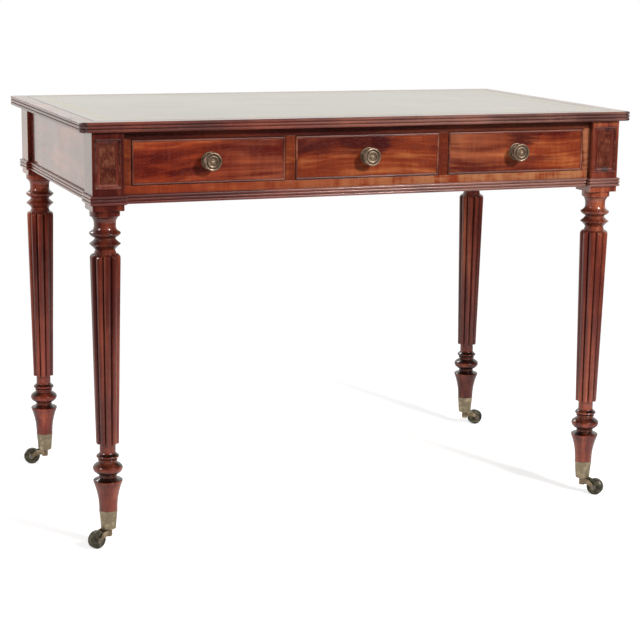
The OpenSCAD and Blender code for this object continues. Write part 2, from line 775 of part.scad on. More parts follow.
module castor_horn(c) {
    inner = wheel_w / 2 + arm_gap;
    top_z = cap_bottom_z - swivel_gap;
    color("darkkhaki") at_castor(c) difference() {
        union() {
            translate([0, 0, horn_hub_z]) cylinder(r = horn_hub_r, h = top_z - horn_hub_z, $fn = 32);
            translate([0, 0, top_z - 2])
                cylinder(r = pintle_r, h = cap_floor + 2.6 + pintle_head_t, $fn = 32);
            translate([0, 0, cap_bottom_z + cap_floor + 0.4])
                cylinder(r = pintle_head_r, h = pintle_head_t, $fn = 32);
            // Bridge of the fork, between the hub and the wheel
            box([0, -inner - arm_t, horn_hub_z + 6], [trail - wheel_r - 1.2, inner + arm_t, top_z]);
            for (s = [-1, 1]) translate([0, s > 0 ? inner + arm_t : -inner, 0]) rotate([90, 0, 0]) {
                linear_extrude(arm_t) arm_shape();
                translate([trail, wheel_r, 0]) cylinder(r = arm_boss_r, h = arm_t, $fn = 32);
            }
        }
        translate([trail, 0, wheel_r]) rotate([90, 0, 0])
            cylinder(r = axle_r + glue_gap, h = 4 * wheel_w, center = true, $fn = 32);
    }
}

module castor_axle(c) {
    half = wheel_w / 2 + arm_gap + arm_t;
    color("dimgray") at_castor(c) translate([trail, 0, wheel_r]) rotate([90, 0, 0]) {
        cylinder(r = axle_r, h = 2 * half + 1, center = true, $fn = 32);
        for (s = [-1, 1]) translate([0, 0, s * (half + 0.6)])
            cylinder(r = axle_r + 1, h = 1, center = true, $fn = 32);
    }
}

module castor_wheel(c) {
    half = wheel_w / 2;
    // Half of the section, from the middle of the tread over the rim and the sunk web to the boss
    rim = [
        [wheel_r, half - 3.6], [wheel_r - 0.3, half - 1.8], [wheel_r - 1.4, half - 0.4],
        [wheel_r - 2.4, half - 0.2], [wheel_r - 3.4, half - 0.4], [wheel_r - 4, half - 1.4],
        [axle_r + 3.6, half - 1.4],
        [axle_r + 3, half], [axle_r + run_gap, half]
    ];
    color("darkkhaki") at_castor(c) translate([trail, 0, wheel_r]) rotate([90, 0, 0]) rotate_extrude($fn = 64)
        polygon(concat(rim, [for (i = [len(rim) - 1 : -1 : 0]) [rim[i][0], -rim[i][1]]]));
}

top_board();
leather_panel();
corner_beads();
post_mouldings();
apron_mouldings();
back_apron();
side_apron(-1);  // left_apron
side_apron(1);  // right_apron
front_top_rail();
front_bottom_rail();
front_uprights();
drawer_runners();
drawer_kickers();
drawer_stops();
top_screws();
cap_screws();
for (c = CORNERS) {
    leg(c);
    castor_cap(c);
    castor_horn(c);
    castor_axle(c);
    castor_wheel(c);
}
for (d = DRAWERS) {
    drawer_front(d[1]);
    drawer_cock_bead(d[1]);
    drawer_sides(d[1]);
    drawer_back(d[1]);
    drawer_bottom(d[1]);
    drawer_knob(d[1]);
    drawer_knob_plate(d[1]);
    drawer_knob_nut(d[1]);
}
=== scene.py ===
# %% [markdown]
# # A mahogany library table
# This lesson dresses a finished frame: every board, leg, drawer and castor of the table already stands in place at
# its real size, in metres, and the cells below give each one its surface. We load the frame first, because every
# finish is laid out on the sizes of the pieces.

# %% Load the frame
import math
import bpy
from mathutils import Matrix, Vector


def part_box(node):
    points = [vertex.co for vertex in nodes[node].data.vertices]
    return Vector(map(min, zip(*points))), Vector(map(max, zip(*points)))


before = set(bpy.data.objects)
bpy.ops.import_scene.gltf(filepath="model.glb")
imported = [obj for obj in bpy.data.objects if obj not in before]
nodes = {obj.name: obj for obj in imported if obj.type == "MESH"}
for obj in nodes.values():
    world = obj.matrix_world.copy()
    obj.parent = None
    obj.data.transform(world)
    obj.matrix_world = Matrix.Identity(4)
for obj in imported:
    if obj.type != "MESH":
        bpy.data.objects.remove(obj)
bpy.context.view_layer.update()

# %% [markdown]
# ## Shader maths as plain expressions
# A Blender material is a graph of nodes. Long graphs are hard to read, so we wrap an output socket in a small class
# whose operators add the Math nodes. `1 - mask * 0.5` then builds two nodes and links them. The named methods are
# the few other sums that we need. The one used most is `between`, which makes a soft mask of a distance or a noise.

# %% A wire that does arithmetic
class Wire:
    """An output socket of a shader graph; arithmetic on it adds Math nodes."""

    def __init__(self, graph, socket):
        self.graph = graph
        self.socket = socket

    def maths(self, operation, *values):
        return self.graph.add("ShaderNodeMath", {"operation": operation}, dict(enumerate(values)))

    def __add__(self, other):
        return self.maths("ADD", self, other)

    def __sub__(self, other):
        return self.maths("SUBTRACT", self, other)

    def __rsub__(self, other):
        return self.maths("SUBTRACT", other, self)

    def __mul__(self, other):
        return self.maths("MULTIPLY", self, other)

    def __truediv__(self, other):
        return self.maths("DIVIDE", self, other)

    __radd__ = __add__
    __rmul__ = __mul__

    def size(self):
        return self.maths("ABSOLUTE", self)

    def root(self):
        return self.maths("SQRT", self)

    def over(self, edge):
        return self.maths("GREATER_THAN", self, edge)

    def under(self, edge):
        return self.maths("LESS_THAN", self, edge)

    def most(self, other):
        return self.maths("MAXIMUM", self, other)

    def least(self, other):
        return self.maths("MINIMUM", self, other)

    def zigzag(self, reach):
        """Runs up to the reach and down to 0 again, over and over."""
        return self.maths("PINGPONG", self, reach)

    def between(self, low, high):
        """0 at low, 1 at high and a smooth rise between; low may be the larger."""
        ramp = {"Value": self, "From Min": low, "From Max": high}
        return self.graph.add("ShaderNodeMapRange", {"interpolation_type": "SMOOTHSTEP"}, ramp)

    def scaled(self, low, high):
        """Stretches 0 to 1 to the range low to high."""
        return self * (high - low) + low


print("arithmetic on wires is ready")

# %% [markdown]
# ## One way to add a node
# Everything that isn't plain arithmetic comes from one method, `add`, which takes the node's type, its settings and
# the values or wires of its inputs. The other methods are short names for the nodes that wood, leather and brass all
# need: a noise, a mix of two colours, a ramp of colours, and the place on the table. Every piece stands at the origin
# with its place in its mesh, so Object coordinates are the same metres that the frame is measured in.

# %% A graph and its usual nodes
class Graph:
    """The node graph of one material or world."""

    def __init__(self, owner):
        owner.use_nodes = True
        self.tree = owner.node_tree
        self.tree.nodes.clear()

    def add(self, kind, settings=None, values=None, out=0):
        """Adds a node, makes its settings, fills its inputs and returns its output as a Wire."""
        node = self.tree.nodes.new(kind)
        for name, value in (settings or {}).items():
            setattr(node, name, value)
        for key, value in (values or {}).items():
            self.fill(node.inputs[key], value)
        return Wire(self, node.outputs[out]) if node.outputs else node

    def fill(self, socket, value):
        if isinstance(value, Wire):
            self.tree.links.new(value.socket, socket)
        else:
            socket.default_value = value

    def place(self):
        """The place on the table, in metres."""
        return self.add("ShaderNodeTexCoord", out="Object")

    def facing(self):
        """The way that the face looks."""
        return self.add("ShaderNodeNewGeometry", out="Normal")

    def ray(self, kind):
        """1 for one kind of light path, such as what the camera sees at once, and 0 for the others."""
        return self.add("ShaderNodeLightPath", out="Is %s Ray" % kind)

    def split(self, vector):
        node = self.tree.nodes.new("ShaderNodeSeparateXYZ")
        self.fill(node.inputs[0], vector)
        return [Wire(self, socket) for socket in node.outputs]

    def join(self, x, y, z):
        return self.add("ShaderNodeCombineXYZ", None, {0: x, 1: y, 2: z})

    def mix(self, factor, low, high):
        """Mixes two colours."""
        node = self.tree.nodes.new("ShaderNodeMix")
        node.data_type = "RGBA"
        for socket, value in ((node.inputs[0], factor), (node.inputs[6], low), (node.inputs[7], high)):
            self.fill(socket, value)
        return Wire(self, node.outputs[2])

    def noise(self, place, scale=1.0, detail=3.0, roughness=0.5):
        values = {"Vector": place, "Scale": scale, "Detail": detail, "Roughness": roughness}
        return self.add("ShaderNodeTexNoise", {"noise_dimensions": "3D"}, values)

    def ramp(self, factor, places, colours):
        """The colours in turn, each at its place on the way from 0 to 1."""
        node = self.tree.nodes.new("ShaderNodeValToRGB")
        marks = node.color_ramp.elements
        while len(marks) < len(places):
            marks.new(0.5)
        for mark, place, colour in zip(marks, places, colours):
            mark.position = place
            mark.color = colour
        self.fill(node.inputs[0], factor)
        return Wire(self, node.outputs[0])


print("a graph can add nodes")

# %% [markdown]
# ## Colours
# Colours are linear red, green and blue. A finish has three tones, from the dark to the light of its figure, and no
# two boards of a table are quite alike, so we make each board's tones from a shared set: `tinted` takes a share of
# the red and another of the green and blue, and `calmer` draws the tones together where a board shows little figure.

# %% Mixing tones
def rgba(red, green, blue):
    return (red, green, blue, 1.0)


def tinted(tones, red, rest=None):
    """The tones times one share, or with another share for their green and blue."""
    rest = red if rest is None else rest
    return tuple(rgba(tone[0] * red, tone[1] * rest, tone[2] * rest) for tone in tones)


def calmer(tones, share):
    """The tones drawn towards the middle one by a share."""
    return tuple(rgba(*(c + (m - c) * share for c, m in zip(tone[:3], tones[1]))) for tone in tones)


sample = (rgba(0.1, 0.1, 0.1), rgba(0.3, 0.3, 0.3), rgba(0.5, 0.5, 0.5))
print("red of three greys, calmer by half:", [round(tone[0], 2) for tone in calmer(sample, 0.5)])

# %% [markdown]
# ## What every finish shares
# Two things tell polished old furniture from new: inner corners that are darker, partly from wax and dust and partly
# as painted shade, and edges that are paler, rubbed pale and soft by hands, and on the panel mouldings painted pale as
# a highlight line. Both could be painted on by hand, but masks that read the shape itself fit every piece.
# The first is a mask from ambient occlusion. The second comes from the Bevel node, which bends the normals near an
# edge: the bent normal catches a thin line of light, and its turn away from the true normal says how near the edge is.
# `surface` ends each material: it takes the colour, the roughness and the height of the relief, and sets all that is
# constant on the shader itself.

# %% Dark corners, pale edges and the last shader
def occluded(graph, reach):
    """1 in a tight inner corner and 0 in the open."""
    open_sky = graph.add("ShaderNodeAmbientOcclusion", {"samples": 6}, {"Distance": reach}, out="AO")
    return open_sky.between(0.75, 0.2)


def soft_normal(graph, radius):
    return graph.add("ShaderNodeBevel", {"samples": 4}, {"Radius": radius})


def edge_band(graph, radius):
    """1 on an edge and 0 on the faces beside it."""
    normals = {0: soft_normal(graph, radius), 1: graph.facing()}
    return graph.add("ShaderNodeVectorMath", {"operation": "DOT_PRODUCT"}, normals, out="Value").between(0.99, 0.90)


def surface(graph, colour, roughness, height, relief, edge, constants=None, metallic=None, coat=None):
    """The shader at the end of a finish: relief is the height of the bumps and edge the softness, both in metres."""
    bumps = {"Strength": 1.0, "Distance": relief, "Height": height, "Normal": soft_normal(graph, edge)}
    values = {"Base Color": colour, "Roughness": roughness, "Normal": graph.add("ShaderNodeBump", None, bumps)}
    if metallic is not None:
        values["Metallic"] = metallic
    if coat is not None:
        values["Coat Weight"] = coat
    shader = graph.add("ShaderNodeBsdfPrincipled", None, {**values, **(constants or {})})
    graph.add("ShaderNodeOutputMaterial", None, {0: shader})


def new_finish(name):
    material = bpy.data.materials.new(name)
    return material, Graph(material)


def dress(names, material):
    """Gives each CAD node its finish and nothing else."""
    for name in names:
        mesh = nodes[name].data
        mesh.materials.clear()
        mesh.materials.append(material)


def middle_and_half(name):
    """The middle of a node's box, and half its size."""
    low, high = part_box(name)
    return (low + high) / 2, (high - low) / 2


print("shared shader steps are ready")

# %% [markdown]
# ## The figure of the wood
# Mahogany shows several things at once: broad stripes of lighter and darker wood, fine streaks inside them, soft
# clouds of colour, faint ripples across the grain, darker patches where the tree was under strain, and short pores
# that the polish has filled. Each is a noise that is squeezed across the grain and drawn out along it, and only the
# ripples are squeezed the other way. The grain has to run along each board, so `grain_place` turns the coordinates:
# the first one is always along the grain. A slow noise bends them a little, because no tree is straight, and `lean`
# lets the stripes climb along the board. The border of the top is four boards in one piece, so there `mitre` swaps
# the grain from one way to the other at the line where two of them meet.

# %% Layers of the figure
AXES = {"x": (0, 1, 2), "y": (1, 0, 2), "z": (2, 0, 1)}
# For each layer: its scale along the grain and across it, then the detail and the roughness of its noise
LAYERS = {
    "stripe": (3.0, 52.0, 2.0, 0.5),
    "streak": (9.0, 210.0, 3.0, 0.6),
    "cloud": (8.0, 13.0, 3.0, 0.5),
    "ripple": (170.0, 30.0, 2.0, 0.5),
    "pore": (90.0, 1700.0, 1.0, 0.5),
    "strain": (9.0, 18.0, 3.0, 0.5),
    "wave": (9.0, 16.0, 1.0, 0.5),
}
STRIPE_SHARE, STREAK_SHARE, CLOUD_SHARE = 0.42, 0.19, 0.39


def mitre_side(x, y, half_x, half_y):
    """How much nearer a place on a board is to its left or right edge than to its front or back edge."""
    return y.size() * -1 + half_y - (x.size() * -1 + half_x)


def grain_place(graph, along, shift, bend, lean=0.0, mitre=None):
    parts = graph.split(graph.place())
    if mitre:
        turned = mitre_side(parts[0], parts[1], *mitre).over(0.0)
        parts[:2] = [parts[i] * (1 - turned) + parts[1 - i] * turned for i in (0, 1)]
    ordered = [parts[i] + shift[i] for i in AXES[along]]
    slow = graph.noise(graph.join(ordered[0] * 3.0, ordered[1] * 6.0, ordered[2] * 6.0), 1.0, 1.0) - 0.5
    drift = slow * bend - ordered[0] * lean
    return [ordered[0], ordered[1] + drift, ordered[2] + drift]


def layer(graph, parts, name):
    along, across, detail, roughness = LAYERS[name]
    return graph.noise(graph.join(parts[0] * along, parts[1] * across, parts[2] * across), 1.0, detail, roughness)


def figure_layers(graph, parts, ripples=0.06):
    """The figure of the wood, its clouds, streaks and pores, each from 0 to 1."""
    stripe, streak, cloud, ripple = (layer(graph, parts, name) for name in ("stripe", "streak", "cloud", "ripple"))
    figure = stripe * STRIPE_SHARE + streak * STREAK_SHARE + cloud * (CLOUD_SHARE - ripples) + ripple * ripples
    return figure, cloud, streak, layer(graph, parts, "pore").between(0.58, 0.70)


print("layers of the figure:", ", ".join(LAYERS))

# %% [markdown]
# ## Marks of one place
# Some marks belong to one place and not to the whole board: the dark blots on a drawer front, the feathered figure of
# a small panel cut from the fork of a branch, the darkening on the slopes of a turned ring, which is dust on its upper
# side and painted shade on its underside, and the front corners of the top, where the polish has chipped off. Each is
# a function that gives a mask from 0 to 1 or a colour of its own, so that a board takes only the marks it needs. Blots
# are ellipses whose rims we make ragged with the wood's own clouds and streaks, so that they look grown and not
# painted.

# %% Blots, panels, dust and shade on slopes, and chipped corners
CROTCH = (rgba(0.046, 0.007, 0.0045), rgba(0.118, 0.026, 0.0135), rgba(0.25, 0.09, 0.047))
CROTCH_PLACES = (0.42, 0.56, 0.72)


def dark_blots(x, z, cloud, streak, board, marks):
    """Dark patches at set places; each mark is (across, up, width, height, depth), in halves of the board."""
    middle, half = middle_and_half(board)
    ragged = (cloud - 0.5) * 4.0 + (streak - 0.5) * 2.5
    shade = 0.0
    for across, up, wide, tall, depth in marks:
        u = (x - (middle.x + across * half.x)) / (wide * half.x)
        v = (z - (middle.z + up * half.z)) / (tall * half.z)
        shade = ((u * u + v * v + ragged).between(1.6, 0.1) * depth).most(shade)
    return shade


def inside(x, y, z, box):
    """1 inside the box of the two corners and 0 outside."""
    mask = 1.0
    for value, low, high in zip((x, y, z), *box):
        mask = value.over(low) * (1 - value.over(high)) * mask
    return mask


def crotch_wood(graph, x, z):
    """The feathered figure of a branch, as short strokes that lean out from the middle of a panel."""
    fan = graph.noise(graph.join(x * 420.0 + z * 130.0, 0.0, z * 110.0), 1.0, 4.0, 0.7)
    blot = graph.noise(graph.join(x * 60.0, 0.0, z * 60.0), 1.0, 2.0)
    return graph.ramp(fan * 0.6 + blot * 0.5, CROTCH_PLACES, CROTCH)


def dust_and_underside_shade(graph, z, smear):
    """Dust on upward slopes of turned work, painted shade on downward ones, thicker low down; level faces have none.
    """
    slope = graph.split(graph.facing())[2].size()
    low_down = z.between(0.5, 0.25).scaled(0.7, 1.4)
    return slope.between(0.2, 0.75) * (1 - slope.over(0.995)) * smear.between(0.25, 0.55) * low_down


def near_corner(x, y, reach, half_x, half_y):
    """1 at the two front corners of a board and 0 farther than the reach from them."""
    return (x.size() - (half_x - reach)).between(0.0, 0.002) * (0 - y - (half_y - reach)).between(0.0, 0.002)


def square_faces(graph, z, axes, above):
    """1 on the faces that look along one of the axes and lie above a height, and 0 elsewhere."""
    normal = graph.split(graph.facing())
    facing = 0.0
    for axis in axes:
        facing = normal["xyz".index(axis)].size().most(facing)
    return facing.between(0.75, 0.95) * z.over(above)


print("marks of one place are ready")

# %% [markdown]
# ## Polished wood
# One function makes every polished board, in the order in which a real one got its looks. First comes the wood: its
# figure in three `tones`, made paler over part of its length, which is the sun's bleaching on most boards and a
# painted reflection of the white studio on the top and the mouldings, with a share of dark `patch` that lies mostly in
# the
# upper half of the frieze. Then comes use: pale edges, rubbed by hands and on the panel mouldings a painted highlight;
# darker inner corners, from wax and soot and from painted shade; and darker slopes on turned work, dust on the upper
# ones and painted shade on the lower. Last comes the French polish, a clear coat with faint `waves` from the pad that
# laid it on.
# Flat faces mirror the studio more strongly than worn mouldings do. So `gloss` is the coat of the whole board, and
# `sheen` gives another strength to the faces that look along the named axes and lie above a height. The wood could
# come from photographs of veneer, but they repeat and end at some size, while noises follow each board's own grain.

# %% Mahogany under French polish
POLISH = {"Coat Roughness": 0.08, "Coat IOR": 1.5, "IOR": 1.45}
RED = (rgba(0.030, 0.0025, 0.0015), rgba(0.135, 0.015, 0.0060), rgba(0.30, 0.056, 0.020))
PATCH = rgba(0.045, 0.004, 0.004)
# Dark colour for wax, soot and painted shade in corners, dust and painted shade on slopes, and the mitre joints
DIRT_AND_SHADE = rgba(0.012, 0.003, 0.002)
# Pale colour of edges rubbed by hands, and of painted highlight lines
RUBBED_AND_HIGHLIT = rgba(0.42, 0.19, 0.115)
CHIPPED = (rgba(0.050, 0.014, 0.012), rgba(0.30, 0.20, 0.18))
TONE_PLACES = (0.44, 0.55, 0.67)
UPPER_FRIEZE = (0.66, 0.70)
JOINT_LINE = (0.0007, 0.0003)
SOFT_EDGE = 0.0012
# Scale, detail and roughness of the noises that follow no grain
SMEAR = (14.0, 4.0, 0.6)
SPOTS = (120.0, 3.0, 0.6)
FLECKS = (420.0, 2.0)


def polished(name, along, shift=(0.0, 0.0, 0.0), tones=RED, bend=0.03, lean=0.0, ripples=0.06, mitre=None,
             patch=0.15, bleach_and_reflection=None, blots=None, crotch=None, rubbed_and_highlit=0.35, soot_and_shade_reach=0.008, soot_and_shade=0.75, slope_dust_and_shade=0.0,
             worn_corner=None, gloss=0.35, dull=0.0, sheen=None, waves=0.5, constants=POLISH):
    material, graph = new_finish(name)
    place = graph.place()
    x, y, z = graph.split(place)
    parts = grain_place(graph, along, shift, bend, lean, mitre)
    figure, cloud, streak, pore = figure_layers(graph, parts, ripples)
    wood = graph.ramp(figure, TONE_PLACES, tones)
    # Paler over part of the length: with the faded colours the sun's bleaching, with the pale grey pink a painted
    # reflection
    if bleach_and_reflection:
        start, end, share, pale = bleach_and_reflection
        wood = graph.mix(x.between(start, end) * figure.between(0.38, 0.56) * share, wood, pale)
    strain = layer(graph, parts, "strain").between(0.46, 0.62) * z.between(*UPPER_FRIEZE).scaled(0.25, 1.0)
    wood = graph.mix(strain * patch, wood, PATCH)
    if blots:
        wood = graph.mix(dark_blots(x, z, cloud, streak, *blots), wood, PATCH)
    if crotch:
        wood = graph.mix(inside(x, y, z, crotch), wood, crotch_wood(graph, x, z))
    wood = graph.mix(pore * 0.5, wood, tones[0])

    # The occlusion mask darkens every inner corner: wax and soot, and painted shade where little light reaches
    corner = occluded(graph, soot_and_shade_reach)
    smear = graph.noise(place, *SMEAR)
    spots = graph.noise(place, *SPOTS).between(0.42, 0.62)
    # Edges are made pale: wear from hands on most boards, a painted highlight line on the panel mouldings
    edge = edge_band(graph, SOFT_EDGE) * (1 - corner) * spots
    wood = graph.mix(edge * rubbed_and_highlit, wood, RUBBED_AND_HIGHLIT)
    # Slopes of turned work are darkened: dust where they face up, painted shade where they face down
    slope_dark = dust_and_underside_shade(graph, z, smear) * slope_dust_and_shade if slope_dust_and_shade else 0.0
    colour = graph.mix((corner * soot_and_shade).most(slope_dark), wood, DIRT_AND_SHADE)
    if mitre:
        colour = graph.mix(mitre_side(x, y, *mitre).size().between(*JOINT_LINE) * 0.6, colour, DIRT_AND_SHADE)

    coat = gloss
    if sheen:
        mirror = square_faces(graph, z, *sheen[1:])
        coat, dull = mirror.scaled(gloss, sheen[0]), (1 - mirror) * dull
    if worn_corner:
        chipped = near_corner(x, y, *worn_corner)
        flecks = graph.noise(place, *FLECKS).between(0.56, 0.66)
        colour = graph.mix(chipped, colour, graph.mix(flecks, *CHIPPED))
        coat = coat * (1 - chipped)
    roughness = smear.scaled(0.12, 0.34) + corner * 0.3 + pore * 0.1 + dull
    height = layer(graph, parts, "wave") * waves - pore * 0.08 + streak * 0.08 - spots * edge * 0.3
    surface(graph, colour, roughness, height, relief=0.0005, edge=SOFT_EDGE, constants=constants, coat=coat)
    return material


print("polished wood is ready, its soft edges are %.1f mm wide" % (SOFT_EDGE * 1000))

# %% [markdown]
# ## Aprons, top rail and mouldings
# The aprons are the plain sides of the table, with a polish so smooth that they mirror the studio. The rail above the
# drawers is dark because little light gets under the top, and that shade is painted into its tones. The reeded
# mouldings at the foot of the frieze are touched and knocked more than anything else: their crests are rubbed pale
# and their polish is dull, and only the lengths on the sides still shine. On the right they turn a pale grey pink, a
# painted reflection of the white studio. The mouldings round the panels in the legs have painted highlight lines on
# their edges and painted shade in their hollows.

# %% The frame of the table
AMBER = (rgba(0.095, 0.0070, 0.0030), rgba(0.265, 0.038, 0.0100), rgba(0.56, 0.155, 0.045))
FADED = rgba(0.40, 0.150, 0.072)
# A pale grey pink: a painted reflection of the white studio on the mouldings and the top's edge
PAINTED_REFLECTION = rgba(0.34, 0.190, 0.140)

dress(["left_apron", "right_apron"],
      polished("mahogany_side", "y", tones=tinted(AMBER, 0.85), patch=0.0, rubbed_and_highlit=0.1, gloss=0.85, waves=0.15))
dress(["back_apron"], polished("mahogany_back", "x", (0.3, 0.1, 0.0)))
# Its tones are darkened as painted shade, for the little light that gets under the top
dress(["front_top_rail"],
      polished("mahogany_top_rail", "x", (0.3, 0.1, 0.0), calmer(tinted(RED, 0.66), 0.4), patch=0.0,
               bleach_and_reflection=(-0.15, 0.35, 0.12, FADED), soot_and_shade=0.5, gloss=0.1))
# Their right ends turn pale grey pink, a painted reflection of the white studio
dress(["apron_mouldings", "post_mouldings"],
      polished("mahogany_moulding", "x", (1.3, 0.0, 0.2), calmer(tinted(RED, 1.3), 0.25), patch=0.0,
               bleach_and_reflection=(-0.42, 0.10, 0.45, PAINTED_REFLECTION), rubbed_and_highlit=0.6, soot_and_shade_reach=0.006, gloss=0.2, dull=0.12, waves=0.15,
               sheen=(0.8, "x", 0.0)))
# Their edges are painted pale as a highlight line, and their hollows painted dark as shade
dress(["corner_beads"],
      polished("mahogany_panel_moulding", "z", (0.8, 0.0, 0.2), tinted(RED, 0.95), patch=0.0, rubbed_and_highlit=1.0,
               soot_and_shade_reach=0.006, soot_and_shade=1.0, gloss=0.12, dull=0.12, waves=0.15))
print("polished nodes:", sum(1 for n in nodes.values() if n.data.materials))

# %% [markdown]
# ## Legs
# Each leg is one stick, from the square head to the foot, with its grain upright. Each of the four has its own share
# of red and of the other colours, as legs cut from different logs would, and the much larger shares of the front right
# leg are painted light, for the stronger light that falls on it. Rings, reed grooves and hollows are darkened
# strongly, with dust and soot and with painted shade, and the slopes of the rings take dust on their upper side and
# painted shade on their underside. The heads of the front legs are sunk for a small panel of feathered wood. Head and
# panel are one piece, and a second material would need its faces picked out by hand, so a box inside the panel's
# moulding says where that wood lies.

# %% Turned and reeded legs
LEG_RED = (rgba(0.078, 0.0120, 0.0075), rgba(0.192, 0.039, 0.0188), rgba(0.35, 0.105, 0.048))
LEG_POLISH = {**POLISH, "Specular IOR Level": 0.3}
# For each leg: the share of red, the share of green and blue, and how dark its head is
LEGS = {
    "leg_front_left": (1.06, 0.96, 0.5),
    # The front right leg's large shares are painted light: more light falls on it
    "leg_front_right": (1.58, 1.72, 0.2),
    "leg_back_left": (1.22, 0.92, 0.3),
    "leg_back_right": (0.84, 0.72, 0.3),
}
PANEL_HALF_WIDTH = 0.0145
PANEL_MOULDING = 0.009
HEAD_FOOT = 0.59


def sunk_panel(leg):
    """The box of the feathered floor of the panel in a front leg's head, inside its moulding."""
    middle = middle_and_half(leg)[0].x
    low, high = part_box("corner_beads")
    return ((middle - PANEL_HALF_WIDTH, low.y, low.z + PANEL_MOULDING),
            (middle + PANEL_HALF_WIDTH, high.y + 0.001, high.z - PANEL_MOULDING))


for i, (leg, (red, rest, dark)) in enumerate(LEGS.items()):
    panel = sunk_panel(leg) if "front" in leg else None
    head = (0.0, 0.98, 3.0, 0.34, dark)
    # Strong corner darkening paints shade, with dust and soot, into rings, reed grooves and the panel recess
    dress([leg], polished("mahogany_" + leg, "z", (0.0, 0.31 * i, 0.7 * i), tinted(LEG_RED, red, rest),
                          blots=(leg, (head,)), crotch=panel, soot_and_shade_reach=0.012, soot_and_shade=0.95, slope_dust_and_shade=0.75, gloss=0.5,
                          sheen=(0.85, "x", HEAD_FOOT), waves=0.25, constants=LEG_POLISH))
print("legs:", ", ".join(LEGS))

# %% [markdown]
# ## Drawer fronts
# The drawer fronts are the best wood on the table, a figured veneer that is more orange than the rest, with light
# streaks that sweep along the drawer. Each front was cut from another leaf of veneer, so each gets its own shift,
# lean, tones and blots. The cock beads round them are rubbed pale. The rail below is cross-banded, with its grain
# upright, and the uprights between and beside the drawers have theirs along their length.

# %% Figured veneer
BEAD_RED = (rgba(0.10, 0.020, 0.011), rgba(0.26, 0.070, 0.038), rgba(0.42, 0.15, 0.085))
GOLDEN = rgba(0.42, 0.190, 0.080)
LEAVES = {
    "left": {"shift": (0.0, 0.0, 0.0), "lean": 0.05, "tones": tinted(AMBER, 1.10, 1.02),
             "bleach_and_reflection": (-0.34, -0.18, 0.3, FADED)},
    "centre": {"shift": (1.7, 0.4, 0.23), "lean": 0.02, "tones": tinted(AMBER, 0.83, 0.90)},
    "right": {"shift": (3.4, 0.8, 0.46), "lean": 0.03, "tones": tinted(AMBER, 0.92, 1.0),
              "bleach_and_reflection": (0.36, 0.18, 0.32, FADED)},
}
BLOTS = {
    "left": ((-0.50, 0.25, 0.22, 0.6, 0.25), (-0.30, -0.5, 0.25, 0.5, 0.4), (0.45, 0.6, 0.3, 0.4, 0.2)),
    "centre": ((-0.65, 0.50, 0.40, 0.4, 0.7), (-0.20, 0.55, 0.30, 0.5, 0.85), (0.14, 0.6, 0.16, 0.5, 0.9)),
    "right": ((0.12, 0.7, 0.22, 0.4, 0.8), (-0.92, 0.6, 0.12, 0.4, 0.5), (0.36, -0.4, 0.35, 0.2, 0.35)),
}

for side, leaf in LEAVES.items():
    board = "drawer_%s_front" % side
    # The corner darkening reaches far here, so the knobs darken the front round their base: a painted shadow
    dress([board], polished("veneer_" + side, "x", bend=0.07, patch=0.12, blots=(board, BLOTS[side]), soot_and_shade_reach=0.014,
                            gloss=0.2, **leaf))
    dress(["drawer_%s_cock_bead" % side],
          polished("bead_" + side, "x", leaf["shift"], BEAD_RED, rubbed_and_highlit=0.9, soot_and_shade_reach=0.003, soot_and_shade=0.3, gloss=0.1,
                   dull=0.15, waves=0.1))
dress(["front_uprights"],
      polished("veneer_upright", "z", (0.4, 0.9, 0.3), calmer(tinted(AMBER, 0.78, 0.95), 0.3), ripples=0.3, patch=0.0,
               bleach_and_reflection=(0.41, 0.44, 0.9, FADED), soot_and_shade_reach=0.005, gloss=0.2))
dress(["front_bottom_rail"],
      polished("veneer_rail", "z", (0.9, 0.2, 0.7), calmer(tinted(AMBER, 1.1, 1.15), 0.65), bend=0.05, ripples=0.25,
               patch=0.2, bleach_and_reflection=(-0.42, 0.30, 0.75, GOLDEN)))
print("drawer fronts are veneered:", list(LEAVES))

# %% [markdown]
# ## The border of the top
# The border round the leather is mahogany, mitred at the corners, and three reeds are worked on its edge. Its level
# face and its ends mirror the studio, while the reeds along the front are dull from sleeves and hands. The two front
# corners have lost their polish. The joints of the mitres are only a dark line as thin as a hair, so the shader draws
# them where the two nearest edges are equally far away.

# %% Top board
middle, half = middle_and_half("top_board")
CORNER_REACH = 0.014
# On the right its edge turns pale grey pink, a painted reflection of the white studio
dress(["top_board"],
      polished("mahogany_top", "x", (0.0, 0.7, 0.4), calmer(tinted(RED, 1.3, 1.6), 0.2), mitre=(half.x, half.y),
               patch=0.0, bleach_and_reflection=(-0.30, 0.30, 0.4, PAINTED_REFLECTION), rubbed_and_highlit=0.55, soot_and_shade_reach=0.004,
               worn_corner=(CORNER_REACH, half.x, half.y), gloss=0.08, dull=0.35, sheen=(0.48, "xz", 0.0), waves=0.06))
print("the top is %.3f by %.3f m" % (half.x * 2, half.y * 2))

# %% [markdown]
# ## Leather
# The panel inside the border is a thin green skiver with a gilt band tooled near its edge. Leather isn't one colour:
# the polish has gone into its pores, and arms have worn the front paler. The gilding is thinner than paper, so it
# needs no shape of its own. It follows the rim of the panel, and its mask is the distance to the nearest edge, which
# we work out from the panel's box: two lines stand at one distance on either side of the band's middle, and a zigzag
# along the rim draws the lozenges between them.

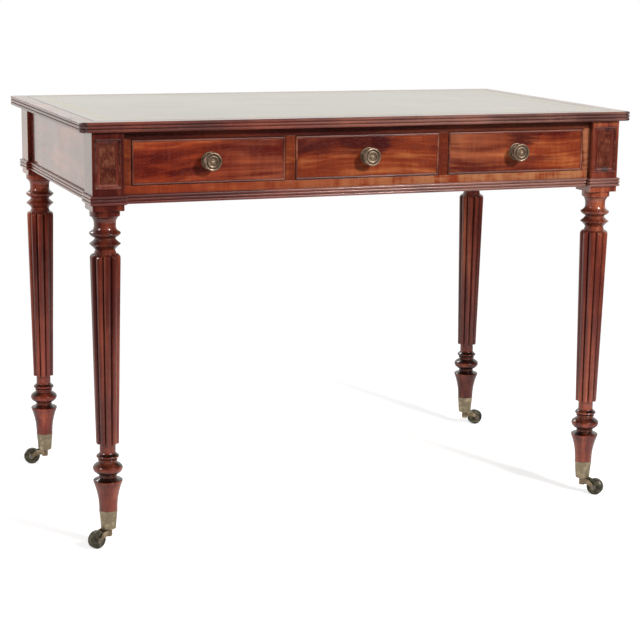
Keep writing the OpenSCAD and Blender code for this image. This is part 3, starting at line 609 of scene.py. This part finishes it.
# %% Leather with a gilt border
LEATHER_GREEN = rgba(0.070, 0.080, 0.045)
LEATHER_DARK = rgba(0.030, 0.038, 0.020)
LEATHER_WORN = rgba(0.15, 0.145, 0.09)
LEATHER_POLISH = {"Coat Roughness": 0.12, "Coat IOR": 1.6, "IOR": 1.5}
GILT = rgba(0.42, 0.35, 0.10)
CREASE = rgba(0.010, 0.010, 0.007)
GILT_INSET = 0.030
GILT_HALF = 0.0072
GILT_LINE = (0.0012, 0.0006)
LOZENGE_STEP = 0.006
LOZENGE_RIM = (0.0062, 0.0048)
CREASE_WIDE = 0.0022
# Scale, and detail where it isn't the usual, of the noises on leather
PORES = 900.0
GOLD_WEAR = 90.0
DYE = (5.0, 4.0)
ARM_WEAR = (3.0, 2.0)


def gilt_band(graph, place, x, y, rim_x, rim_y):
    """1 on the lines and lozenges of the tooled band, where the gold hasn't been rubbed off."""
    across = (rim_x.least(rim_y) - GILT_INSET).size()
    lines = (across - GILT_HALF).size().between(*GILT_LINE)
    side = rim_x.under(rim_y)
    beat = (y * side + x * (1 - side)).zigzag(LOZENGE_STEP)
    lozenges = (beat + across).between(*LOZENGE_RIM)
    return lines.most(lozenges) * graph.noise(place, GOLD_WEAR).between(0.30, 0.5)


def leather():
    material, graph = new_finish("green_leather")
    middle, half = middle_and_half("leather_panel")
    place = graph.place()
    x, y, z = graph.split(place)
    rim_x = half.x - (x - middle.x).size()
    rim_y = half.y - (y - middle.y).size()
    gilt = gilt_band(graph, place, x, y, rim_x, rim_y)
    crease = rim_x.least(rim_y).between(CREASE_WIDE, CREASE_WIDE * 0.5)
    grain = graph.add("ShaderNodeTexVoronoi", {"feature": "F1"}, {"Vector": place, "Scale": PORES})
    cloud = graph.noise(place, *DYE)
    worn = graph.noise(place, *ARM_WEAR).between(0.5, 0.75) * y.between(0.1, -0.25)
    colour = graph.mix(cloud.between(0.3, 0.7), LEATHER_DARK, LEATHER_GREEN)
    colour = graph.mix(worn * 0.6, colour, LEATHER_WORN)
    colour = graph.mix(gilt, colour, GILT)
    colour = graph.mix(crease, colour, CREASE)
    roughness = cloud.scaled(0.16, 0.26) + crease * 0.6 + gilt * 0.15
    height = grain * 0.08 - gilt * 0.2 - crease * 1.5
    streaks = graph.noise(graph.join(x * 2.0, y * 60.0, z))
    coat = (1 - crease - gilt * 0.3) * streaks.scaled(0.47, 0.63)
    surface(graph, colour, roughness, height, relief=0.0003, edge=0.0008, constants=LEATHER_POLISH, coat=coat)
    return material


dress(["leather_panel"], leather())
print("leather panel:", [round(v, 3) for v in middle_and_half("leather_panel")[1] * 2])

# %% [markdown]
# ## Brass
# The knobs and castors are old brass: gold where fingers and floors rub it, olive brown where they don't. Tarnish
# sits in the hollows, so the mask of inner corners drives it, together with a cloudy noise. The button in the middle
# of each knob sits in a hollow and would come out dark, but fingers reach it, so a round mask keeps it bright; its
# brightness is also a painted highlight.

# %% Aged brass
BRASS_TONES = {
    "knob": (rgba(0.18, 0.120, 0.078), rgba(0.54, 0.40, 0.29)),
    "cap": (rgba(0.28, 0.225, 0.145), rgba(0.60, 0.48, 0.31)),
    "horn": (rgba(0.22, 0.16, 0.10), rgba(0.54, 0.41, 0.27)),
    "wheel": (rgba(0.060, 0.055, 0.038), rgba(0.22, 0.20, 0.14)),
}
TARNISH = rgba(0.030, 0.024, 0.017)
BUTTON_RADIUS = 0.0045
TARNISH_REACH = 0.005
# Scale, detail and roughness of the noises on brass
BRASS_CLOUD = (90.0, 4.0, 0.6)
SCRATCHES = (900.0, 2.0)


def knob_buttons(graph, place):
    """1 on the button in the middle of each knob."""
    x, y, z = graph.split(place)
    edge = BUTTON_RADIUS * BUTTON_RADIUS
    button = 0.0
    for side in LEAVES:
        middle = middle_and_half("drawer_%s_knob" % side)[0]
        u, v = x - middle.x, z - middle.z
        button = (u * u + v * v).between(edge, edge * 0.6).most(button)
    return button


def brass(name):
    material, graph = new_finish("brass_" + name)
    dull, bright = BRASS_TONES[name]
    place = graph.place()
    cloud = graph.noise(place, *BRASS_CLOUD)
    scratch = graph.noise(place, *SCRATCHES)
    button = knob_buttons(graph, place) if name == "knob" else 0.0
    corner = occluded(graph, TARNISH_REACH) * (1 - button)
    # The button is made bright: finger wear, and a painted highlight
    bright_share = cloud.between(0.45, 0.70).most(edge_band(graph, 0.0008)).most(button)
    colour = graph.mix(bright_share * 0.8, dull, bright)
    colour = graph.mix(corner * 0.9, colour, TARNISH)
    roughness = cloud.scaled(0.52, 0.36) + corner * 0.3
    height = scratch * 0.2 + cloud * 0.5
    surface(graph, colour, roughness, height, relief=0.0002, edge=0.0005, metallic=0.85 - corner * 0.5)
    return material


dress([n for n in nodes if "knob" in n], brass("knob"))
dress([n for n in nodes if n.startswith("castor_cap") or n == "cap_screws"], brass("cap"))
dress([n for n in nodes if n.startswith("castor_horn")], brass("horn"))
dress([n for n in nodes if n.startswith("castor_wheel")], brass("wheel"))
print("brass finishes:", list(BRASS_TONES))

# %% [markdown]
# ## Hidden wood and steel
# Drawer linings, runners and kickers are bare oak, grey-brown with age. Nobody polishes what is seen only when a
# drawer is open, so the oak takes the same layers of figure and no coat. The screws under the top are dark steel, and
# so are the axles of the castors.

# %% Oak linings and steel screws
OAK = (rgba(0.17, 0.10, 0.05), rgba(0.32, 0.20, 0.105), rgba(0.46, 0.31, 0.17))
OAK_PLACES = (0.40, 0.53, 0.66)
OAK_CORNER_DARK = rgba(0.04, 0.025, 0.015)
OAK_CORNER_REACH = 0.02
STEEL = (rgba(0.10, 0.095, 0.09), rgba(0.26, 0.25, 0.24))


def oak(name, along):
    material, graph = new_finish(name)
    figure, cloud, streak, pore = figure_layers(graph, grain_place(graph, along, (0.0, 0.0, 0.0), 0.02))
    wood = graph.ramp(figure * 0.5 + streak * 0.5, OAK_PLACES, OAK)
    # The oak is darker towards its inner corners
    colour = graph.mix(occluded(graph, OAK_CORNER_REACH) * 0.7, graph.mix(pore * 0.5, wood, OAK[0]), OAK_CORNER_DARK)
    surface(graph, colour, streak.scaled(0.5, 0.65), streak * 0.5 - pore, relief=0.0005, edge=0.0008)
    return material


def steel():
    material, graph = new_finish("dark_steel")
    cloud = graph.noise(graph.place(), 300.0, 3.0)
    surface(graph, graph.mix(cloud, *STEEL), cloud.scaled(0.35, 0.55), cloud, relief=0.0002, edge=0.0003,
            metallic=cloud.scaled(0.8, 1.0))
    return material


oak_across = oak("oak_across", "x")
oak_along = oak("oak_along", "y")
dress(["drawer_%s_back" % side for side in LEAVES] + ["drawer_stops"], oak_across)
dress(["drawer_%s_%s" % (side, board) for side in LEAVES for board in ("sides", "bottom")], oak_along)
dress(["drawer_runners", "drawer_kickers"], oak_along)
dress(["top_screws"] + [n for n in nodes if n.startswith("castor_axle")], steel())
print("nodes without a finish:", [n for n, o in nodes.items() if not o.data.materials])

# %% [markdown]
# ## Floor
# The table stands on a plain white floor. A square one would show its corners against the white behind it, so the
# floor is a disc that fades out at its rim. It is paper white, and for the camera a little whiter still, so that only
# a faint shadow is left under the legs. More light would whiten it too, but it would also bleach the wood.

# %% Floor
WHITE = rgba(1.0, 1.0, 1.0)
PAPER = rgba(0.88, 0.88, 0.88)
FLOOR_RADIUS = 2.6
FLOOR_LIFT = 0.45


def white_floor(radius):
    bpy.ops.object.select_all(action="DESELECT")
    bpy.ops.mesh.primitive_circle_add(vertices=64, radius=radius, fill_type="NGON", location=(0, 0, 0))
    floor = bpy.context.object
    floor.name = "studio_floor"
    material, graph = new_finish("floor_white")
    x, y, z = graph.split(graph.place())
    far = (x * x + y * y).root().between(radius * 0.35, radius * 0.95)
    lift = graph.add("ShaderNodeEmission", None, {"Color": WHITE, "Strength": graph.ray("Camera") * FLOOR_LIFT})
    paper = graph.add("ShaderNodeBsdfDiffuse", None, {"Color": PAPER})
    near = graph.add("ShaderNodeAddShader", None, {0: paper, 1: lift})
    rim = graph.add("ShaderNodeBsdfTransparent", None, {"Color": WHITE})
    faded = graph.add("ShaderNodeMixShader", None, {0: far, 1: near, 2: rim})
    graph.add("ShaderNodeOutputMaterial", None, {0: faded})
    floor.data.materials.append(material)
    return floor


floor = white_floor(FLOOR_RADIUS)
print("floor is", [round(v, 2) for v in floor.dimensions])

# %% [markdown]
# ## Light
# The rule for even light is that a colour should render about as it is written, so the lamps are soft and of middling
# strength, and the white behind the table is only the world's colour. A photo studio has a white sheet behind the
# object, and polish mirrors it where we look along a surface. So reflections see white low behind the table and on
# its left, and a dim room elsewhere. The strongest lamp stands on the right in front, so that the knobs cast their
# shadows to the lower left. A weaker one stands on the left, and a third behind the table gives its far side light.

# %% World and lamps
AMBIENT = rgba(0.27, 0.27, 0.27)
DIM_ROOM = rgba(0.065, 0.061, 0.059)
WARM_SHEET = rgba(1.0, 0.962, 0.91)
TABLE_MIDDLE = Vector((0, 0, 0.45))
# For each lamp: its place, the side of its square in metres, and its power in watts
LAMPS = {
    "lamp_front_right": ((1.34, -2.91, 2.2), 0.45, 108),
    "lamp_left": ((-3.2, -0.95, 1.9), 0.8, 42),
    "lamp_back": ((-0.6, 2.9, 2.6), 1.0, 40),
}


def studio_world():
    """White for the camera, a white sheet behind the table for reflections, and a little even light."""
    world = bpy.data.worlds.new("studio")
    bpy.context.scene.world = world
    graph = Graph(world)
    x, y, z = graph.split(graph.add("ShaderNodeTexCoord", out="Generated"))
    left_or_low = z.between(-0.08, 0.02).most(x.between(0.15, -0.1))
    sheet = y.between(-0.25, 0.35) * z.between(0.8, 0.45) * left_or_low
    light = graph.mix(graph.ray("Camera").most(graph.ray("Transmission")), AMBIENT, WHITE)
    light = graph.mix(graph.ray("Glossy"), light, graph.mix(sheet, DIM_ROOM, WARM_SHEET))
    background = graph.add("ShaderNodeBackground", None, {"Color": light, "Strength": 1.0})
    graph.add("ShaderNodeOutputWorld", None, {0: background})


def softbox(name, place, side, power):
    """A square soft lamp that faces the middle of the table."""
    light = bpy.data.lights.new(name, "AREA")
    light.shape = "SQUARE"
    light.size = side
    light.energy = power
    lamp = bpy.data.objects.new(name, light)
    bpy.context.scene.collection.objects.link(lamp)
    place = Vector(place)
    turn = (TABLE_MIDDLE - place).to_track_quat("-Z", "Y").to_matrix().to_4x4()
    lamp.matrix_world = Matrix.Translation(place) @ turn
    return lamp


studio_world()
lamps = [softbox(name, *settings) for name, settings in LAMPS.items()]
print("lamps:", [(lamp.name, lamp.data.energy) for lamp in lamps])

# %% [markdown]
# ## Camera
# The camera stands where the photographer stood: a little left of the table, at chest height, with a long lens. A
# camera can be set by eye, but a wrong lens bends every leg and edge a little. So its place, turn and tilt are
# measured from the edges of the table in the picture.

# %% Camera
CAMERA_PLACE = Vector((-1.1924, -3.1148, 1.0269))
CAMERA_YAW = math.radians(21.30)
CAMERA_DOWN = math.radians(11.83)
CAMERA_ROLL = math.radians(0.79)
IMAGE_SIDE = 640
FOCAL_PIXELS = 1701


def photo_camera():
    forward = Vector((math.sin(CAMERA_YAW) * math.cos(CAMERA_DOWN), math.cos(CAMERA_YAW) * math.cos(CAMERA_DOWN),
                      -math.sin(CAMERA_DOWN)))
    level = Vector((math.cos(CAMERA_YAW), -math.sin(CAMERA_YAW), 0))
    upright = level.cross(forward)
    right = math.cos(CAMERA_ROLL) * level + math.sin(CAMERA_ROLL) * upright
    up = math.cos(CAMERA_ROLL) * upright - math.sin(CAMERA_ROLL) * level
    data = bpy.data.cameras.new("photo_camera")
    data.sensor_fit = "HORIZONTAL"
    data.sensor_width = 36.0
    data.lens = FOCAL_PIXELS / IMAGE_SIDE * data.sensor_width
    camera = bpy.data.objects.new("photo_camera", data)
    bpy.context.scene.collection.objects.link(camera)
    turn = Matrix((right, up, -forward)).transposed().to_4x4()
    camera.matrix_world = Matrix.Translation(CAMERA_PLACE) @ turn
    bpy.context.scene.camera = camera
    return camera


camera = photo_camera()
bpy.context.scene.view_settings.view_transform = "Standard"
print("lens: %.1f mm" % camera.data.lens)
